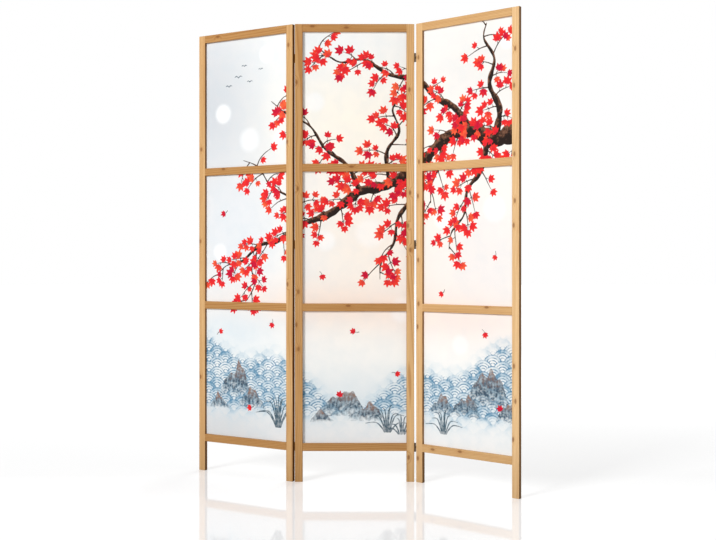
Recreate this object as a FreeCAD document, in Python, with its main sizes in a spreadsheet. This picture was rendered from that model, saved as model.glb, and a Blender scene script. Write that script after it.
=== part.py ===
import FreeCAD, Part
import os
import re
import Sketcher

# Folding screen of three framed panels, hinged in a zigzag.
#
# Lengths are in millimetres and angles in degrees. A panel is drawn in a frame of its own:
# x runs across it from its left edge, y from its front face to its back, z up from the floor.
# The middle panel's frame is the model's, and the side panels turn about their hinge axes.
# At the end everything moves so that the origin lies on the floor, under the middle of the
# whole screen's box.

SIZES = (
    ("panel_width", 446, "one panel, across both stiles"),
    ("opening_height", 493, "clear height between two rails"),
    ("leg_length", 115, "stile left free under the bottom rail"),
    ("stile_width", 29, "upright, seen from the front"),
    ("rail_height", 29, "cross bar, seen from the front"),
    ("timber_thickness", 15, "uprights and cross bars, front to back"),
    ("edge_radius", 1, "sanded arris on every long edge"),
    ("sheet_recess", 10.5, "front face back to the face of the sheet"),
    ("rabbet_width", 7, "step behind the opening that carries the sheet"),
    ("sheet_thickness", 0.6, "printed cloth"),
    ("sheet_clearance", 0.5, "edge of the cloth to the side of the rabbet"),
    ("strip_width", 6.5, "retaining strip, seen from behind"),
    ("strip_clearance", 0.2, "strip to the side of the rabbet and to its neighbour"),
    ("strip_set_back", 0.3, "back face forward to the strip"),
    ("dowel_radius", 3, "beech dowel"),
    ("dowel_length", 24, "half in the stile and half in the rail"),
    ("dowel_spacing", 15, "between the two dowels of a joint"),
    ("dowel_clearance", 0.05, "dowel to the side of its bore"),
    ("dowel_end_clearance", 0.5, "dowel to the bottom of its bore"),
    ("brad_radius", 0.6, "wire brad"),
    ("brad_length", 15, "through a strip and into the timber"),
    ("brad_clearance", 0.05, "brad to the side of its hole"),
    ("brad_end_clearance", 0.5, "brad to the bottom of its hole"),
    ("hinge_height", 32, "leaf and barrel of a butt hinge"),
    ("leaf_thickness", 1, "leaf, and wall of its rolled knuckle"),
    ("leaf_reach", 15, "hinge axis to the free edge of the leaf"),
    ("leaf_corner_radius", 2, "free corners of the leaf"),
    ("seam_gap", 0.2, "end of a rolled knuckle to its own leaf"),
    ("edge_barrel_radius", 3, "right joint's barrels, and half the gap between its panels"),
    ("back_barrel_radius", 2, "left joint's barrels, which stand behind the panels"),
    ("knuckle_gap", 0.25, "between knuckles, and round the other leaf's knuckles"),
    ("axis_proud", 2, "right hinge axis beyond the front faces"),
    ("back_seam", 0.3, "between the panels of the left joint, opened flat"),
    ("pin_clearance", 0.05, "pin to the bore of a knuckle"),
    ("pin_head_height", 0.8, "riveted head of the pin"),
    ("pin_head_inset", 0.4, "outside of the barrel in to the pin's head"),
    ("top_hinge_drop", 126, "top of the panel down to the middle of its top hinge"),
    ("centre_hinge_height", 886, "floor up to the middle of the centre hinge"),
    ("screw_length", 12, "countersunk wood screw"),
    ("screw_radius", 1.5, "shank"),
    ("screw_tip", 3, "pointed end"),
    ("screw_spacing", 18, "between the two screws of a leaf"),
    ("screw_clearance", 0.05, "screw to its hole"),
    ("screw_end_clearance", 0.5, "tip to the bottom of the pilot hole"),
    ("head_floor", 0.1, "leaf left under the cone of a screw's head"),
    ("drive_width", 0.6, "arm of the cross recess in a head"),
    ("drive_span", 3.2, "length of an arm of the cross"),
    ("drive_depth", 0.7, "depth of the cross"),
    ("left_turn_angle", 31, "left panel, turned back from flat"),
    ("right_turn_angle", 40, "right panel, turned forward from flat"),
    ("overrun", 1, "how far every cut runs past the timber or metal"),
)

OPENINGS = ("bottom", "centre", "top")
RAILS = ("bottom", "lower", "upper", "top")
HINGE_LEVELS = ("bottom", "centre", "top")
KNUCKLES = 3

# Shares of a strip's length at which its brads stand.
LONG_STRIP_BRAD_SHARES = (0.14, 0.5, 0.86)
SHORT_STRIP_BRAD_SHARES = (0.22, 0.78)

# Lengths that follow from the driving sizes, as expressions.
OPENING_WIDTH = "(panel_width - 2 * stile_width)"
PITCH = "(rail_height + opening_height)"
PANEL_HEIGHT = f"(leg_length + {len(OPENINGS)} * {PITCH} + rail_height)"
RABBET_DEPTH = "(timber_thickness - sheet_recess)"
STRIP_THICKNESS = f"({RABBET_DEPTH} - sheet_thickness - strip_set_back)"
STRIP_BACK = "(timber_thickness - strip_set_back)"
STRIP_SIDE = "(rabbet_width - strip_clearance)"
STRIP_MIDDLE = f"({STRIP_BACK} - {STRIP_THICKNESS} / 2)"
DOWEL_DEPTH = "(sheet_recess / 2)"
DOWEL_BORE = "(dowel_radius + dowel_clearance)"
DOWEL_BORE_LENGTH = "(dowel_length / 2 + dowel_end_clearance)"
BRAD_BORE = "(brad_radius + brad_clearance)"
BRAD_BORE_LENGTH = "(brad_length - strip_width - strip_clearance + brad_end_clearance)"
KNUCKLE_LENGTH = f"((hinge_height - {KNUCKLES - 1} * knuckle_gap) / {KNUCKLES})"
SCREW_FROM_AXIS = "((leaf_reach + axis_proud) / 2)"
EDGE_SCREW_LINE = f"({SCREW_FROM_AXIS} - axis_proud)"
BACK_SCREW_LINE = f"({SCREW_FROM_AXIS} - back_seam / 2)"
SCREW_HEAD_HEIGHT = "(leaf_thickness - head_floor)"
SCREW_HEAD_RADIUS = f"(screw_radius + {SCREW_HEAD_HEIGHT})"
SCREW_BORE = "(screw_radius + screw_clearance)"
PILOT_LENGTH = "(screw_length - leaf_thickness + screw_end_clearance)"
HINGE_HEIGHTS = {
    "bottom": "(leg_length + rail_height / 2)",
    "centre": "centre_hinge_height",
    "top": f"({PANEL_HEIGHT} - top_hinge_drop)",
}
DRILL_POINT_ANGLE = 118
SNAP = 0.001

UP = FreeCAD.Vector(0, 0, 1)
ACROSS = FreeCAD.Vector(1, 0, 0)
BACK = FreeCAD.Vector(0, 1, 0)
HALF_TURN = 180
QUARTER_TURN = 90
FULL_TURN = 360

doc = FreeCAD.newDocument("folding_screen")
sheet = doc.addObject("Spreadsheet::Sheet", "sizes")
for row, (alias, size, note) in enumerate(SIZES, start=1):
    sheet.set(f"A{row}", alias)
    sheet.set(f"B{row}", str(size))
    sheet.set(f"C{row}", note)
    sheet.setAlias(f"B{row}", alias)
doc.recompute()

ALIAS_WORDS = re.compile(r"\b(" + "|".join(alias for alias, size, note in SIZES) + r")\b")


def tie(text):
    """Turn bare size names in an expression into references to the sheet."""
    return ALIAS_WORDS.sub(r"sizes.\1", text)


def value(text):
    """Work an expression out now, as a number."""
    return float(sheet.evalExpression(tie(text)))


def point(across="0", back="0", up="0"):
    """A vector from three expressions."""
    return FreeCAD.Vector(value(across), value(back), value(up))


# Sketches


def new_body(label, several_solids=False):
    body = doc.addObject("PartDesign::Body", label)
    body.Label = label
    body.AllowCompound = several_solids
    return body


def origin_feature(body, role):
    return next(item for item in body.Origin.OriginFeatures if item.Role == role)


def sketch_on(body, role, name, offset="0"):
    """A sketch on one of the body's own planes, moved along that plane's normal."""
    sketch = body.newObject("Sketcher::SketchObject", name)
    sketch.AttachmentSupport = [(origin_feature(body, role), "")]
    sketch.MapMode = "FlatFace"
    sketch.setExpression("AttachmentOffset.Base.z", tie(offset))
    return sketch


def hold_point(sketch, geometry, end, across, up):
    """Hold one point of a sketch at two expressions, counted from the sketch's origin."""
    for kind, text in (("DistanceX", across), ("DistanceY", up)):
        rule = Sketcher.Constraint(kind, -1, 1, geometry, end, value(text))
        index = sketch.addConstraint(rule)
        sketch.setExpression(f"Constraints[{index}]", tie(text))


def draw_outline(sketch, corners):
    """Draw a closed outline of straight lines through corners given as expressions."""
    places = [FreeCAD.Vector(value(across), value(up), 0) for across, up in corners]
    lines = []
    for start, end in zip(places, places[1:] + places[:1]):
        lines.append(sketch.addGeometry(Part.LineSegment(start, end)))
    for line, following in zip(lines, lines[1:] + lines[:1]):
        sketch.addConstraint(Sketcher.Constraint("Coincident", line, 2, following, 1))
    for line, (across, up) in zip(lines, corners):
        hold_point(sketch, line, 1, across, up)


def draw_rectangle(sketch, left, low, right, high):
    draw_outline(sketch, ((left, low), (right, low), (right, high), (left, high)))


def draw_circle(sketch, across, up, radius):
    middle = FreeCAD.Vector(value(across), value(up), 0)
    circle = sketch.addGeometry(Part.Circle(middle, UP, value(radius)))
    hold_point(sketch, circle, 3, across, up)
    index = sketch.addConstraint(Sketcher.Constraint("Radius", circle, value(radius)))
    sketch.setExpression(f"Constraints[{index}]", tie(radius))


# Features


def pad(body, sketch, length, against_normal=False):
    feature = body.newObject("PartDesign::Pad", f"{sketch.Label}_pad")
    feature.Profile = sketch
    feature.setExpression("Length", tie(length))
    feature.Reversed = against_normal
    return feature


def pocket(body, sketch, depth=None, along_normal=False):
    """Cut a sketch to a depth, or right through where none is given."""
    feature = body.newObject("PartDesign::Pocket", f"{sketch.Label}_pocket")
    feature.Profile = sketch
    feature.Reversed = along_normal
    if depth is None:
        feature.Type = "ThroughAll"
    else:
        feature.setExpression("Length", tie(depth))
    return feature


def runs_along(edge, direction):
    """Whether a straight edge is parallel to a direction."""
    return abs(edge.tangentAt(edge.FirstParameter).dot(direction)) > 1 - SNAP


def round_edges(body, base, radius, chosen):
    """Fillet those edges of the base feature that the chosen function accepts."""
    doc.recompute()
    names = [f"Edge{index}" for index, edge in enumerate(base.Shape.Edges, start=1) if chosen(edge)]
    feature = body.newObject("PartDesign::Fillet", "rounded_edges")
    feature.Base = (base, names)
    feature.setExpression("Radius", tie(radius))
    return feature


def repeat_up(body, originals, count):
    """Repeat features up the panel, one opening and rail apart."""
    feature = body.newObject("PartDesign::LinearPattern", "repeat_up")
    feature.Originals = originals
    feature.Direction = (origin_feature(body, "Z_Axis"), [""])
    feature.setExpression("Length", tie(f"{count - 1} * {PITCH}"))
    feature.Occurrences = count
    body.Tip = feature
    return feature


# Timber


def stile(label, side, hinges_on=None):
    """Upright of a panel, with its outer edge at x = 0.

    side is 1 for a left stile, whose timber lies to the right of that edge, and -1 for a right
    one. Its hinges, if it has any, are screwed on its "edge" or on its "back".
    """
    body = new_body(label)
    rabbet_wall = f"{side} * (stile_width - rabbet_width)"
    inner_edge = f"{side} * stile_width"

    section = sketch_on(body, "XY_Plane", "section")
    draw_rectangle(section, "0", "0", inner_edge, "timber_thickness")
    upright = pad(body, section, PANEL_HEIGHT)
    round_edges(body, upright, "edge_radius", lambda edge: True)

    # The step that carries the sheet runs a rabbet's width past the opening at each end.
    step = sketch_on(body, "XZ_Plane", "rabbet", "-(timber_thickness + overrun)")
    low = "leg_length + rail_height - rabbet_width"
    high = f"leg_length + {PITCH} + rabbet_width"
    draw_rectangle(step, rabbet_wall, low, f"{side} * (stile_width + overrun)", high)
    rabbet = pocket(body, step, f"{RABBET_DEPTH} + overrun", along_normal=True)

    holes = sketch_on(body, "YZ_Plane", "brad_holes", rabbet_wall)
    for share in LONG_STRIP_BRAD_SHARES:
        height = f"leg_length + rail_height + {share} * opening_height"
        draw_circle(holes, STRIP_MIDDLE, height, BRAD_BORE)
    brad_holes = pocket(body, holes, BRAD_BORE_LENGTH, along_normal=side < 0)
    repeat_up(body, [rabbet, brad_holes], len(OPENINGS))

    bores = sketch_on(body, "YZ_Plane", "dowel_bores", inner_edge)
    for end in (-1, 1):
        height = f"leg_length + rail_height / 2 + {end} * dowel_spacing / 2"
        draw_circle(bores, DOWEL_DEPTH, height, DOWEL_BORE)
    dowel_bores = pocket(body, bores, DOWEL_BORE_LENGTH, along_normal=side < 0)
    repeat_up(body, [dowel_bores], len(RAILS))

    if hinges_on == "edge":
        pilots = sketch_on(body, "YZ_Plane", "pilot_holes")
        drill_pilots(body, pilots, EDGE_SCREW_LINE, along_normal=side > 0)
    elif hinges_on == "back":
        pilots = sketch_on(body, "XZ_Plane", "pilot_holes", "-timber_thickness")
        drill_pilots(body, pilots, f"{side} * {BACK_SCREW_LINE}", along_normal=True)
    return body


def drill_pilots(body, pilots, screw_line, along_normal):
    """Pilot holes for the hinge screws of a stile, in a sketch on the face that they go into."""
    for level in HINGE_LEVELS:
        for end in (-1, 1):
            height = f"{HINGE_HEIGHTS[level]} + {end} * screw_spacing / 2"
            draw_circle(pilots, screw_line, height, SCREW_BORE)
    doc.recompute()
    hole = body.newObject("PartDesign::Hole", "pilots")
    hole.Profile = pilots
    hole.Reversed = along_normal
    hole.DepthType = "Dimension"
    hole.DrillPoint = "Angled"
    hole.DrillPointAngle = DRILL_POINT_ANGLE
    hole.setExpression("Diameter", tie(f"2 * {SCREW_BORE}"))
    hole.setExpression("Depth", tie(PILOT_LENGTH))


def rail(label, opening_above, opening_below):
    """Cross bar of a panel, with its left end at x = 0 and its lower edge at z = 0."""
    body = new_body(label)
    outline = sketch_on(body, "YZ_Plane", "section")
    draw_rectangle(outline, "0", "0", "timber_thickness", "rail_height")
    bar = pad(body, outline, OPENING_WIDTH)
    round_edges(body, bar, "edge_radius", lambda edge: runs_along(edge, ACROSS))

    step = sketch_on(body, "YZ_Plane", "rabbets")
    behind = "timber_thickness + overrun"
    if opening_above:
        draw_rectangle(step, "sheet_recess", "rail_height - rabbet_width", behind, "rail_height + overrun")
    if opening_below:
        draw_rectangle(step, "sheet_recess", "-overrun", behind, "rabbet_width")
    pocket(body, step, along_normal=True)

    if opening_above:
        drill_rail_brads(body, "upper_brad_holes", "rail_height - rabbet_width", False)
    if opening_below:
        drill_rail_brads(body, "lower_brad_holes", "rabbet_width", True)

    for name, place, along_normal in (("left", "0", True), ("right", OPENING_WIDTH, False)):
        bores = sketch_on(body, "YZ_Plane", f"{name}_dowel_bores", place)
        for end in (-1, 1):
            height = f"rail_height / 2 + {end} * dowel_spacing / 2"
            draw_circle(bores, DOWEL_DEPTH, height, DOWEL_BORE)
        pocket(body, bores, DOWEL_BORE_LENGTH, along_normal)
    return body


def drill_rail_brads(body, name, wall, upwards):
    holes = sketch_on(body, "XY_Plane", name, wall)
    for share in SHORT_STRIP_BRAD_SHARES:
        draw_circle(holes, f"{share} * {OPENING_WIDTH}", STRIP_MIDDLE, BRAD_BORE)
    pocket(body, holes, BRAD_BORE_LENGTH, along_normal=upwards)


# Sheets and what holds them


def printed_sheet(label):
    """Cloth of one opening, lapped into the rabbet, with its lower left corner at the origin."""
    body = new_body(label)
    outline = sketch_on(body, "XZ_Plane", "outline")
    lap = "2 * (rabbet_width - sheet_clearance)"
    draw_rectangle(outline, "0", "0", f"{OPENING_WIDTH} + {lap}", f"opening_height + {lap}")
    pad(body, outline, "sheet_thickness", against_normal=True)
    return body


def sheet_strips(label):
    """Retaining strips of one panel: two long and two short ones behind each sheet."""
    body = new_body(label, several_solids=True)
    outline = sketch_on(body, "XZ_Plane", "strips", f"-{STRIP_BACK}")
    left = f"(stile_width - {STRIP_SIDE})"
    right = f"(panel_width - stile_width + {STRIP_SIDE})"
    for number in range(len(OPENINGS)):
        foot = f"(leg_length + rail_height + {number} * {PITCH})"
        low = f"({foot} - {STRIP_SIDE})"
        high = f"({foot} + opening_height + {STRIP_SIDE})"
        draw_rectangle(outline, left, low, f"{left} + strip_width", high)
        draw_rectangle(outline, f"{right} - strip_width", low, right, high)
        short_left = f"{left} + strip_width + strip_clearance"
        short_right = f"{right} - strip_width - strip_clearance"
        draw_rectangle(outline, short_left, low, short_right, f"{low} + strip_width")
        draw_rectangle(outline, short_left, f"{high} - strip_width", short_right, high)
    pad(body, outline, STRIP_THICKNESS)

    sideways = sketch_on(body, "YZ_Plane", "sideways_brad_holes", "panel_width")
    for number in range(len(OPENINGS)):
        for share in LONG_STRIP_BRAD_SHARES:
            height = f"leg_length + rail_height + {number} * {PITCH} + {share} * opening_height"
            draw_circle(sideways, STRIP_MIDDLE, height, BRAD_BORE)
    pocket(body, sideways)

    upright = sketch_on(body, "XY_Plane", "upright_brad_holes", PANEL_HEIGHT)
    for share in SHORT_STRIP_BRAD_SHARES:
        draw_circle(upright, f"stile_width + {share} * {OPENING_WIDTH}", STRIP_MIDDLE, BRAD_BORE)
    pocket(body, upright)
    return body


# Hinges


def bore_of(barrel):
    """Radius inside the knuckles of a barrel, whose outside radius is given."""
    return f"({barrel} - leaf_thickness)"


def leaf(label, barrel, own_knuckles_outside):
    """One leaf of a hinge, with the hinge axis at the origin and its lower end at z = 0.

    The plate lies on the side of +x and reaches towards -y. One leaf carries the two outer
    knuckles and the other the one between them.
    """
    body = new_body(label)
    plate = sketch_on(body, "XY_Plane", "plate")
    draw_rectangle(plate, bore_of(barrel), "-leaf_reach", barrel, "0")
    flat = pad(body, plate, "hinge_height")
    free_edge = -value("leaf_reach")
    round_edges(body, flat, "leaf_corner_radius", lambda edge: (
        runs_along(edge, ACROSS) and abs(edge.CenterOfMass.y - free_edge) < SNAP
    ))
    ring = sketch_on(body, "XY_Plane", "barrel")
    draw_circle(ring, "0", "0", barrel)
    draw_circle(ring, "0", "0", bore_of(barrel))
    pad(body, ring, "hinge_height")

    room = sketch_on(body, "YZ_Plane", "room_for_other_knuckles", f"{barrel} + overrun")
    near = f"-({barrel} + knuckle_gap)"
    far = f"{barrel} + overrun"
    first = KNUCKLE_LENGTH
    second = f"hinge_height - {KNUCKLE_LENGTH}"
    if own_knuckles_outside:
        draw_rectangle(room, near, first, far, second)
    else:
        draw_rectangle(room, near, "-overrun", far, f"{first} + knuckle_gap")
        draw_rectangle(room, near, f"{second} - knuckle_gap", far, "hinge_height + overrun")
    pocket(body, room)

    seam = sketch_on(body, "XY_Plane", "rolled_seam")
    inside = bore_of(barrel)
    draw_rectangle(seam, f"{inside} - seam_gap", f"-({barrel} + overrun)", inside, "0")
    pocket(body, seam, along_normal=True)

    places = sketch_on(body, "YZ_Plane", "screw_places", inside)
    for end in (-1, 1):
        height = f"hinge_height / 2 + {end} * screw_spacing / 2"
        draw_circle(places, f"-{SCREW_FROM_AXIS}", height, SCREW_BORE)
    doc.recompute()
    hole = body.newObject("PartDesign::Hole", "countersunk_holes")
    hole.Profile = places
    hole.Reversed = True
    hole.DepthType = "ThroughAll"
    hole.setExpression("Diameter", tie(f"2 * {SCREW_BORE}"))
    hole.HoleCutType = "Countersink"
    hole.HoleCutCountersinkAngle = QUARTER_TURN
    hole.setExpression("HoleCutDiameter", tie(f"2 * ({SCREW_HEAD_RADIUS} + screw_clearance)"))
    return body


def hinge_pin(label, barrel):
    """Pin with a riveted head at each end, along z, with the barrel's lower end at z = 0."""
    body = new_body(label)
    shank = f"({bore_of(barrel)} - pin_clearance)"
    head = f"({barrel} - pin_head_inset)"
    crown = f"({head} - pin_head_height / 2)"
    top = "hinge_height + pin_head_height"
    profile = sketch_on(body, "XZ_Plane", "half_profile")
    draw_outline(profile, (
        ("0", "-pin_head_height"),
        (crown, "-pin_head_height"),
        (head, "-pin_head_height / 2"),
        (head, "0"),
        (shank, "0"),
        (shank, "hinge_height"),
        (head, "hinge_height"),
        (head, "hinge_height + pin_head_height / 2"),
        (crown, top),
        ("0", top),
    ))
    turned = body.newObject("PartDesign::Revolution", "turned")
    turned.Profile = profile
    turned.ReferenceAxis = (profile, ["V_Axis"])
    turned.Angle = FULL_TURN
    return body


# Fasteners, each drawn once: driven along +z, with the head at z = 0


def dowel_pattern():
    dowel = doc.addObject("Part::Cylinder", "dowel_pattern")
    dowel.setExpression("Radius", tie("dowel_radius"))
    dowel.setExpression("Height", tie("dowel_length"))
    dowel.setExpression("Placement.Base.z", tie("-dowel_length / 2"))
    return dowel


def brad_pattern():
    brad = doc.addObject("Part::Cylinder", "brad_pattern")
    brad.setExpression("Radius", tie("brad_radius"))
    brad.setExpression("Height", tie("brad_length"))
    return brad


def screw_pattern():
    body = new_body("screw_pattern")
    profile = sketch_on(body, "XZ_Plane", "half_profile")
    draw_outline(profile, (
        ("0", "0"),
        (SCREW_HEAD_RADIUS, "0"),
        ("screw_radius", SCREW_HEAD_HEIGHT),
        ("screw_radius", "screw_length - screw_tip"),
        ("0", "screw_length"),
    ))
    turned = body.newObject("PartDesign::Revolution", "turned")
    turned.Profile = profile
    turned.ReferenceAxis = (profile, ["V_Axis"])
    turned.Angle = FULL_TURN

    slot = sketch_on(body, "XY_Plane", "drive_slot")
    draw_rectangle(slot, "-drive_span / 2", "-drive_width / 2", "drive_span / 2", "drive_width / 2")
    first = pocket(body, slot, "drive_depth", along_normal=True)
    cross = body.newObject("PartDesign::PolarPattern", "drive_cross")
    cross.Originals = [first]
    cross.Axis = (origin_feature(body, "Z_Axis"), [""])
    cross.Angle = QUARTER_TURN
    cross.Occurrences = 2
    body.Tip = cross
    return body


def driven(place, direction):
    """Where a fastener goes that is driven from a place in a direction."""
    return FreeCAD.Placement(place, FreeCAD.Rotation(UP, direction))


def dowel_places():
    places = []
    for side, seam in ((1, "stile_width"), (-1, "panel_width - stile_width")):
        for number in range(len(RAILS)):
            for end in (-1, 1):
                up = f"leg_length + rail_height / 2 + {number} * {PITCH} + {end} * dowel_spacing / 2"
                places.append(driven(point(seam, DOWEL_DEPTH, up), ACROSS * side))
    return places


def brad_places():
    places = []
    reach = f"({STRIP_SIDE} - strip_width)"
    for number in range(len(OPENINGS)):
        foot = f"(leg_length + rail_height + {number} * {PITCH})"
        for share in LONG_STRIP_BRAD_SHARES:
            up = f"{foot} + {share} * opening_height"
            places.append(driven(point(f"stile_width - {reach}", STRIP_MIDDLE, up), -ACROSS))
            right = f"panel_width - stile_width + {reach}"
            places.append(driven(point(right, STRIP_MIDDLE, up), ACROSS))
        for share in SHORT_STRIP_BRAD_SHARES:
            across = f"stile_width + {share} * {OPENING_WIDTH}"
            places.append(driven(point(across, STRIP_MIDDLE, f"{foot} - {reach}"), -UP))
            top = f"{foot} + opening_height + {reach}"
            places.append(driven(point(across, STRIP_MIDDLE, top), UP))
    return places


def screw_places(across, back, direction):
    """Screws of one side of a joint, driven through the leaves in a direction into a stile."""
    places = []
    for level in HINGE_LEVELS:
        for end in (-1, 1):
            up = f"{HINGE_HEIGHTS[level]} + {end} * screw_spacing / 2"
            places.append(driven(point(across, back, up), direction))
    return places


def fastener_group(label, pattern, places):
    """One node of identical fasteners, as separate solids."""
    solids = []
    for place in places:
        solid = pattern.Shape.copy()
        solid.Placement = place.multiply(solid.Placement)
        solids.append(solid)
    group = doc.addObject("Part::Feature", label)
    group.Label = label
    group.Shape = Part.makeCompound(solids)
    return group


# Where the panels and hinges stand

# The left joint folds backwards on hinges whose leaves lie on the back faces, so its panels meet
# almost edge to edge. The right joint folds forwards on hinges whose leaves lie between the edges.
LEFT_AXIS = ("-back_seam / 2", "timber_thickness + back_barrel_radius")
RIGHT_AXIS = ("panel_width + edge_barrel_radius", "-axis_proud")


def turn_about(axis, turn):
    """Turn about an upright axis of the middle panel's frame, anticlockwise from above."""
    rotation = FreeCAD.Rotation(UP, value(turn))
    return FreeCAD.Placement(FreeCAD.Vector(), rotation, point(*axis))


def shift(*place):
    return FreeCAD.Placement(point(*place), FreeCAD.Rotation())


def in_place(direction, angle):
    return FreeCAD.Placement(FreeCAD.Vector(), FreeCAD.Rotation(direction, angle))


TURNS = {
    "left": turn_about(LEFT_AXIS, "-left_turn_angle"),
    "middle": FreeCAD.Placement(),
    "right": turn_about(RIGHT_AXIS, "-right_turn_angle"),
}
PANELS = {
    "left": TURNS["left"].multiply(shift("-(panel_width + back_seam)")),
    "middle": FreeCAD.Placement(),
    "right": TURNS["right"].multiply(shift("panel_width + 2 * edge_barrel_radius")),
}

subparts = []


def place_subpart(subpart, *placements):
    """Put a finished sub-part where a chain of placements says, and keep it."""
    whole = FreeCAD.Placement()
    for placement in placements:
        whole = whole.multiply(placement)
    subpart.Placement = whole
    subparts.append(subpart)


def build_panel(panel, left_hinges_on, right_hinges_on):
    frame = PANELS[panel]
    place_subpart(stile(f"{panel}_panel_left_stile", 1, left_hinges_on), frame)
    right_stile = stile(f"{panel}_panel_right_stile", -1, right_hinges_on)
    place_subpart(right_stile, frame, shift("panel_width"))
    for number, name in enumerate(RAILS):
        bar = rail(f"{panel}_panel_{name}_rail", number < len(OPENINGS), number > 0)
        place_subpart(bar, frame, shift("stile_width", "0", f"leg_length + {number} * {PITCH}"))
    lap = "rabbet_width - sheet_clearance"
    for number, name in enumerate(OPENINGS):
        foot = f"leg_length + rail_height + {number} * {PITCH} - ({lap})"
        cloth = printed_sheet(f"{panel}_panel_{name}_sheet")
        place_subpart(cloth, frame, shift(f"stile_width - ({lap})", "sheet_recess", foot))
    place_subpart(sheet_strips(f"{panel}_panel_sheet_strips"), frame)


def build_joint(joint, axis, barrel, lay_fixed, lay_swing):
    """Three hinges of one joint: a fixed leaf on the middle panel and a swinging one beside it."""
    for level in HINGE_LEVELS:
        middle = shift(*axis, HINGE_HEIGHTS[level])
        down = shift("0", "0", "-hinge_height / 2")
        name = f"{joint}_joint_{level}_hinge"
        fixed_leaf = leaf(f"{name}_fixed_leaf", barrel, own_knuckles_outside=True)
        place_subpart(fixed_leaf, middle, lay_fixed, down)
        swing_leaf = leaf(f"{name}_swing_leaf", barrel, own_knuckles_outside=False)
        place_subpart(swing_leaf, TURNS[joint], middle, lay_swing, down)
        place_subpart(hinge_pin(f"{name}_pin", barrel), middle, down)


build_panel("left", None, "back")
build_panel("middle", "back", "edge")
build_panel("right", "edge", None)
on_back = in_place(UP, QUARTER_TURN).multiply(in_place(BACK, HALF_TURN))
build_joint("left", LEFT_AXIS, "back_barrel_radius", on_back, in_place(UP, -QUARTER_TURN))
on_edge = in_place(UP, HALF_TURN)
build_joint("right", RIGHT_AXIS, "edge_barrel_radius", on_edge, in_place(ACROSS, HALF_TURN))

dowel = dowel_pattern()
brad = brad_pattern()
screw = screw_pattern()
doc.recompute()
for panel, frame in PANELS.items():
    place_subpart(fastener_group(f"{panel}_panel_dowels", dowel, dowel_places()), frame)
    place_subpart(fastener_group(f"{panel}_panel_brads", brad, brad_places()), frame)
BEHIND = "timber_thickness + leaf_thickness"
SCREW_SIDES = (
    ("left_joint_fixed_screws", "middle", BACK_SCREW_LINE, BEHIND, -BACK),
    ("left_joint_swing_screws", "left", f"panel_width - {BACK_SCREW_LINE}", BEHIND, -BACK),
    ("right_joint_fixed_screws", "middle", "panel_width + leaf_thickness", EDGE_SCREW_LINE, -ACROSS),
    ("right_joint_swing_screws", "right", "-leaf_thickness", EDGE_SCREW_LINE, ACROSS),
)
for label, panel, across, back, direction in SCREW_SIDES:
    group = fastener_group(label, screw, screw_places(across, back, direction))
    place_subpart(group, PANELS[panel])
doc.recompute()

# The origin goes on the floor, under the middle of the whole screen's box
whole_box = FreeCAD.BoundBox()
for subpart in subparts:
    whole_box.add(subpart.Shape.BoundBox)
floor_centre = FreeCAD.Vector(whole_box.Center.x, whole_box.Center.y, whole_box.ZMin)
to_origin = FreeCAD.Placement(-floor_centre, FreeCAD.Rotation())
for subpart in subparts:
    subpart.Placement = to_origin.multiply(subpart.Placement)
doc.recompute()

# Checks before anything is written
CUTS = ("PartDesign::Pocket", "PartDesign::Hole")
for item in doc.Objects:
    if {"Invalid", "Error"} & set(item.State):
        raise RuntimeError(f"{item.Label} failed to build")
    if item.TypeId in CUTS and item.Shape.Volume >= item.BaseFeature.Shape.Volume:
        raise RuntimeError(f"{item.Label} cuts nothing")
for subpart in subparts:
    shape = subpart.Shape
    if shape.isNull() or not shape.isValid() or not shape.Solids:
        raise RuntimeError(f"{subpart.Label} has no sound shape")

os.makedirs("parts", exist_ok=True)
for subpart in subparts:
    subpart.Shape.exportStep(f"parts/{subpart.Label}.step")

print(len(subparts), "sub-parts,", sum(len(subpart.Shape.Solids) for subpart in subparts), "solids")
print("box", [round(length, 3) for length in (whole_box.XLength, whole_box.YLength, whole_box.ZLength)])
for name, axis in (("left", LEFT_AXIS), ("right", RIGHT_AXIS)):
    place = to_origin.multVec(point(*axis))
    print(name, "hinge axis", round(place.x, 4), round(place.y, 4))
for panel, frame in PANELS.items():
    for side, across in (("left", "stile_width / 2"), ("right", "panel_width - stile_width / 2")):
        place = to_origin.multiply(frame).multVec(point(across, "timber_thickness / 2"))
        print(panel, side, "foot", round(place.x, 4), round(place.y, 4))
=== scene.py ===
"""A folding screen of three pine panels with printed cloth sheets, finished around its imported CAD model.

The timber and the hinges are the CAD nodes with worked materials. The nine cloth sheets are new pieces,
because each carries its part of one picture: maple boughs over water, laid out over the opened screen.
"""

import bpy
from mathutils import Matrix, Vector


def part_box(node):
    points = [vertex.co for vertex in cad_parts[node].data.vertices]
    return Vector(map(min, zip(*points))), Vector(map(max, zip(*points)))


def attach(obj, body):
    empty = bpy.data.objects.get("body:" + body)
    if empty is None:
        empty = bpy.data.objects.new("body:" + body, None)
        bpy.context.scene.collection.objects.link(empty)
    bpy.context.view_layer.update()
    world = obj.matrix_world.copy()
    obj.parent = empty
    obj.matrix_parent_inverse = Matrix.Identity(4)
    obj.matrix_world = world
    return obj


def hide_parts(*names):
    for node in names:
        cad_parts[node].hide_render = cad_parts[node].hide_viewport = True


bl_info = {
    "name": "Folding screen",
    "version": (1, 0, 0),
    "blender": (4, 5, 0),
    "location": "3D Viewport > Sidebar > Screen",
    "description": "Finishes a folding screen: pine frames, printed cloth sheets, steel hinges and a stage",
    "category": "Object",
}

import math
from functools import partial
from itertools import product

import bmesh
import bpy
import numpy as np
from bpy.props import FloatProperty, FloatVectorProperty, IntProperty, PointerProperty
from mathutils import Matrix, Vector

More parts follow.
